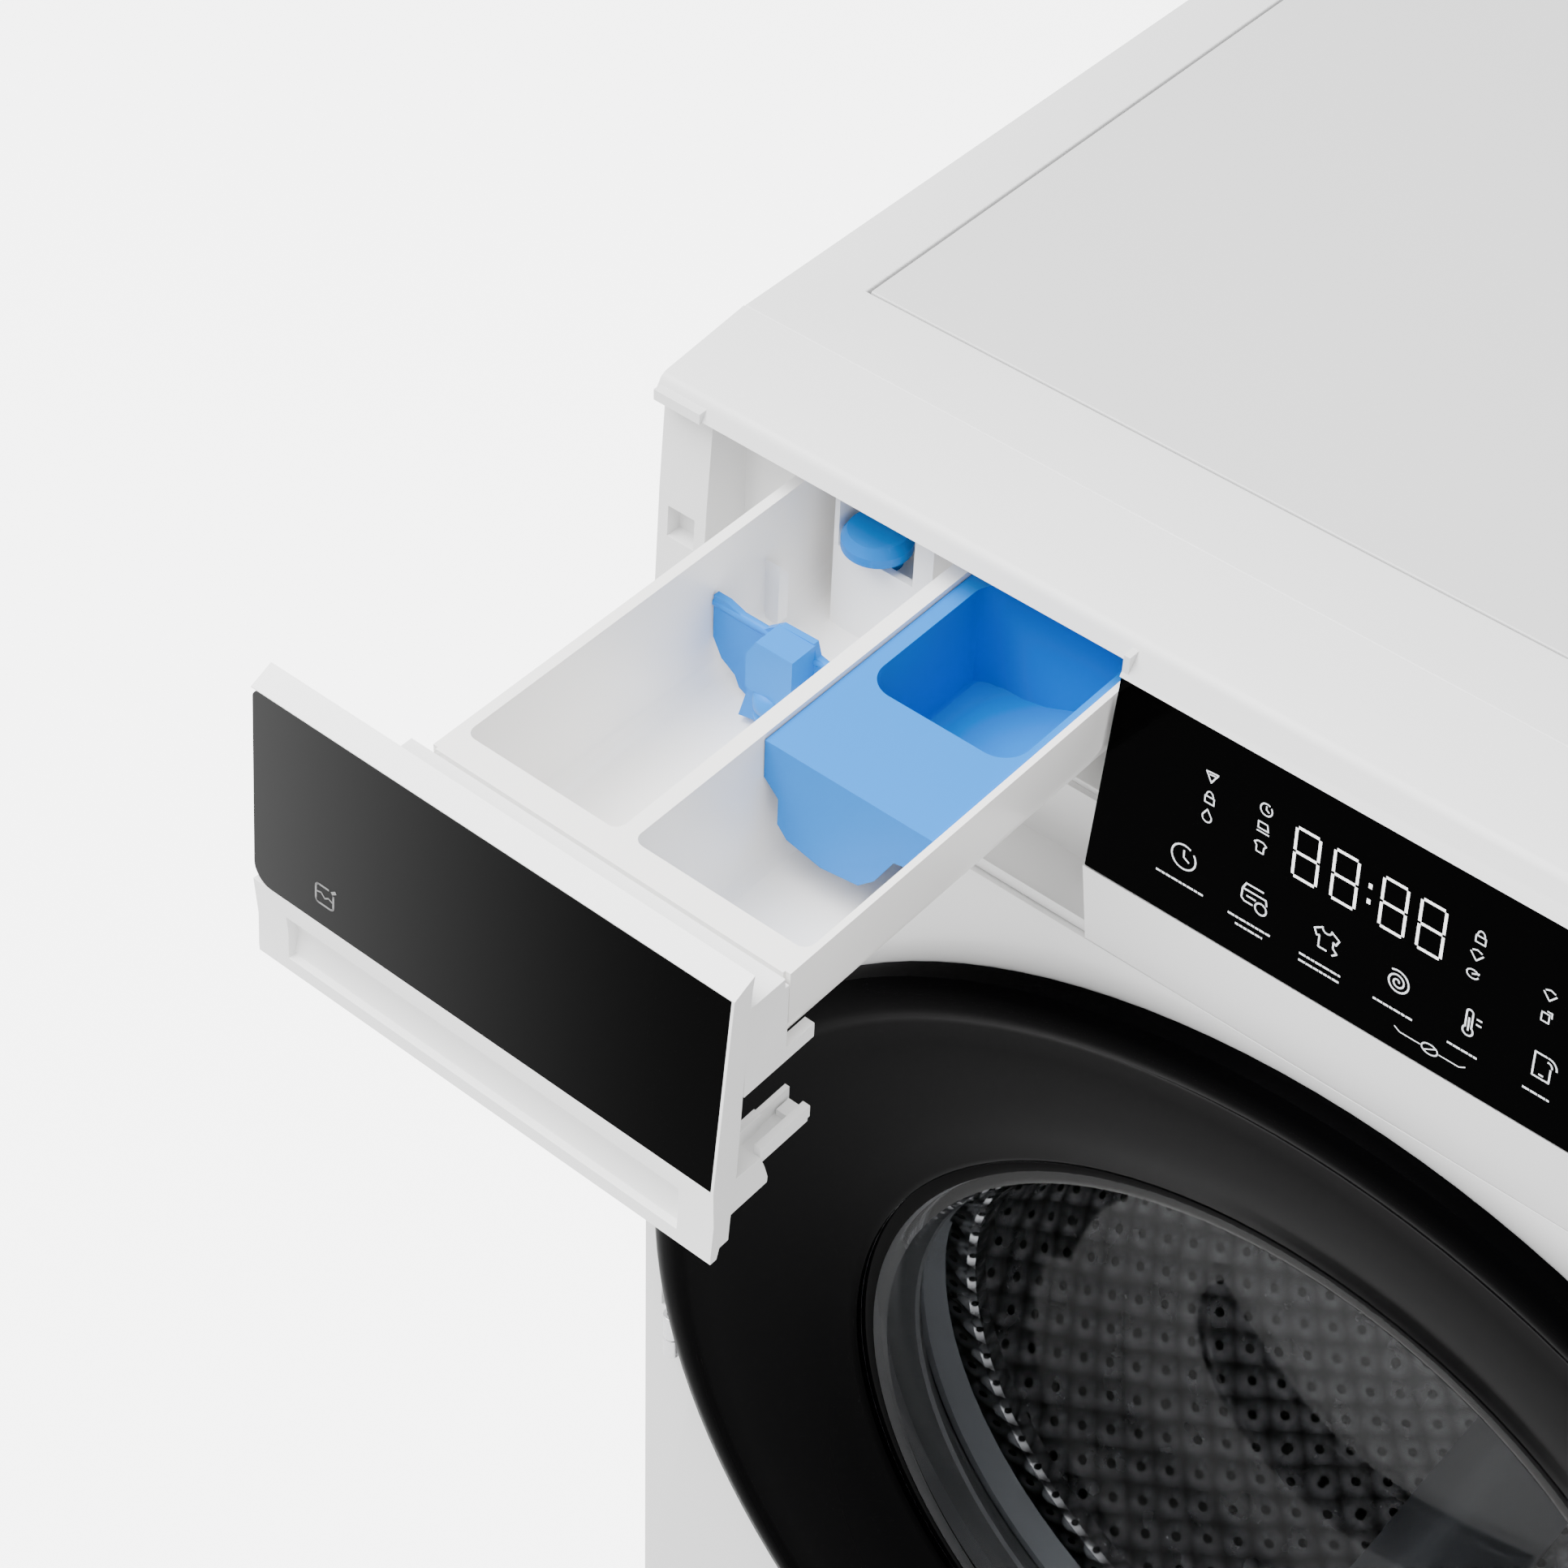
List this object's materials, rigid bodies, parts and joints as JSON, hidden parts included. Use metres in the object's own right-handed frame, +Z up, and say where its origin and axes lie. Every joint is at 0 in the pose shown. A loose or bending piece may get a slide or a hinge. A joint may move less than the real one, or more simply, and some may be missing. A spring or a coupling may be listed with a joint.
{
  "type": "front load washing machine",
  "caption": "Free-standing front load washing machine with an open detergent drawer, a round glass door and a full suspended drum inside",
  "frame": {"origin": "middle of the overall box, drawer pulled out, at floor level", "axes": "+X to the machine's right as seen from the front, +Y from the door to the back, +Z up"},
  "size_m": [0.595, 0.7312, 0.85],
  "materials": {
    "white_sheet": "smooth white enamel",
    "white_plastic": "satin white plastic",
    "panel_glass": "glossy black panel",
    "black_gloss": "glossy black plastic",
    "window_glass": "smoky clear",
    "grey_plastic": "fine matt",
    "dark_plastic": "fine matt",
    "tub_plastic": "filled grey plastic",
    "blue_plastic": "smooth blue plastic",
    "circuit_board": "solder mask",
    "zinc_sheet": "zinc plated",
    "bright_steel": "brushed",
    "drum_steel": "polished, perforated",
    "cast_alloy": "die cast",
    "motor_iron": "painted",
    "concrete": "cast",
    "grey_rubber": "matt",
    "black_rubber": "matt",
    "knob_metal": "satin"
  },
  "bodies": {
    "cabinet": {"side_panels": "white_sheet", "front_panel": "white_sheet", "base_pan": "zinc_sheet", "plinth": "white_sheet", "rear_panel": "white_sheet", "back_cover": "grey_plastic", "top_frame": "white_plastic", "worktop_panel": "white_plastic", "cross_brace": "zinc_sheet", "fascia": "white_plastic", "control_glass": "panel_glass", "display_board": "circuit_board", "control_box": "grey_plastic", "dispenser_housing": "white_plastic", "inlet_valve": "grey_plastic", "drain_outlet": "grey_plastic", "cable_gland": "dark_plastic", "transit_caps": "grey_plastic", "rear_screws": "zinc_sheet", "damper_tubes": "zinc_sheet", "drain_pump": "dark_plastic", "door_lock": "white_plastic", "hinge_pins": "bright_steel", "foot_locknuts": "zinc_sheet", "tub_front": "tub_plastic", "tub_rear": "tub_plastic", "front_weights": "concrete", "top_weight": "concrete", "heater": "bright_steel", "motor": "motor_iron", "drive_belt": "black_rubber", "bearings": "bright_steel", "damper_rods": "bright_steel", "suspension_springs": "bright_steel", "door_gasket": "grey_rubber", "fill_hose": "black_rubber", "sump_hose": "black_rubber"},
    "drawer": {"drawer_front": "white_plastic", "drawer_glass": "panel_glass", "drawer_tray": "white_plastic", "softener_insert": "blue_plastic", "siphon_cap": "blue_plastic"},
    "flap": {"detergent_flap": "blue_plastic"},
    "door": {"door_ring": "black_gloss", "door_inner_frame": "grey_plastic", "door_glass": "window_glass", "door_hook": "bright_steel", "hinge_arms": "bright_steel"},
    "drum": {"drum_shell": "drum_steel", "drum_lifters": "tub_plastic", "drum_spider": "cast_alloy", "drum_pulley": "cast_alloy"},
    "motor_rotor": {"motor_pulley": "cast_alloy"},
    "knob": {"programme_knob": "knob_metal"},
    "service_door": {"service_flap": "white_plastic"},
    "filter": {"filter_cap": "dark_plastic"},
    "leveller_front_left": {"foot_front_left": "dark_plastic"},
    "leveller_front_right": {"foot_front_right": "dark_plastic"},
    "leveller_rear_left": {"foot_rear_left": "dark_plastic"},
    "leveller_rear_right": {"foot_rear_right": "dark_plastic"}
  },
  "joints": [
    {"name": "drawer_slide", "type": "slide", "parent": "cabinet", "child": "drawer", "axis": [0, -1, 0], "range_m": [-0.183, 0.02]},
    {"name": "flap_hinge", "type": "hinge", "parent": "drawer", "child": "flap", "pos_m": [-0.21, -0.2037, 0.801], "axis": [-1, 0, 0], "range_deg": [0, 85]},
    {"name": "door_hinge", "type": "hinge", "parent": "cabinet", "child": "door", "pos_m": [-0.278, -0.17895, 0.4229], "axis": [0, 0, -1], "range_deg": [0, 155]},
    {"name": "drum_spin", "type": "hinge", "parent": "cabinet", "child": "drum", "pos_m": [0, 0.3, 0.4229], "axis": [0, 1, 0], "continuous": true},
    {"name": "motor_spin", "type": "hinge", "parent": "cabinet", "child": "motor_rotor", "pos_m": [0.15, 0.3, 0.103], "axis": [0, 1, 0], "continuous": true},
    {"name": "knob_turn", "type": "hinge", "parent": "cabinet", "child": "knob", "pos_m": [0.165, -0.17818, 0.79417], "axis": [0, -0.9955, 0.0943], "continuous": true},
    {"name": "service_hinge", "type": "hinge", "parent": "cabinet", "child": "service_door", "pos_m": [0.205, -0.17095, 0.0301], "axis": [1, 0, 0], "range_deg": [0, 85]},
    {"name": "filter_turn", "type": "hinge", "parent": "cabinet", "child": "filter", "pos_m": [0.205, -0.14, 0.064], "axis": [0, 1, 0], "range_deg": [0, 90]},
    {"name": "leveller_fl_turn", "type": "hinge", "parent": "cabinet", "child": "leveller_front_left", "pos_m": [-0.245, -0.11445, 0.01], "axis": [0, 0, 1], "continuous": true},
    {"name": "leveller_fr_turn", "type": "hinge", "parent": "cabinet", "child": "leveller_front_right", "pos_m": [0.245, -0.11445, 0.01], "axis": [0, 0, 1], "continuous": true},
    {"name": "leveller_rl_turn", "type": "hinge", "parent": "cabinet", "child": "leveller_rear_left", "pos_m": [-0.245, 0.29555, 0.01], "axis": [0, 0, 1], "continuous": true},
    {"name": "leveller_rr_turn", "type": "hinge", "parent": "cabinet", "child": "leveller_rear_right", "pos_m": [0.245, 0.29555, 0.01], "axis": [0, 0, 1], "continuous": true}
  ],
  "couplings": [
    {"joint": "motor_spin", "follows": "drum_spin", "ratio": 12.727}
  ]
}
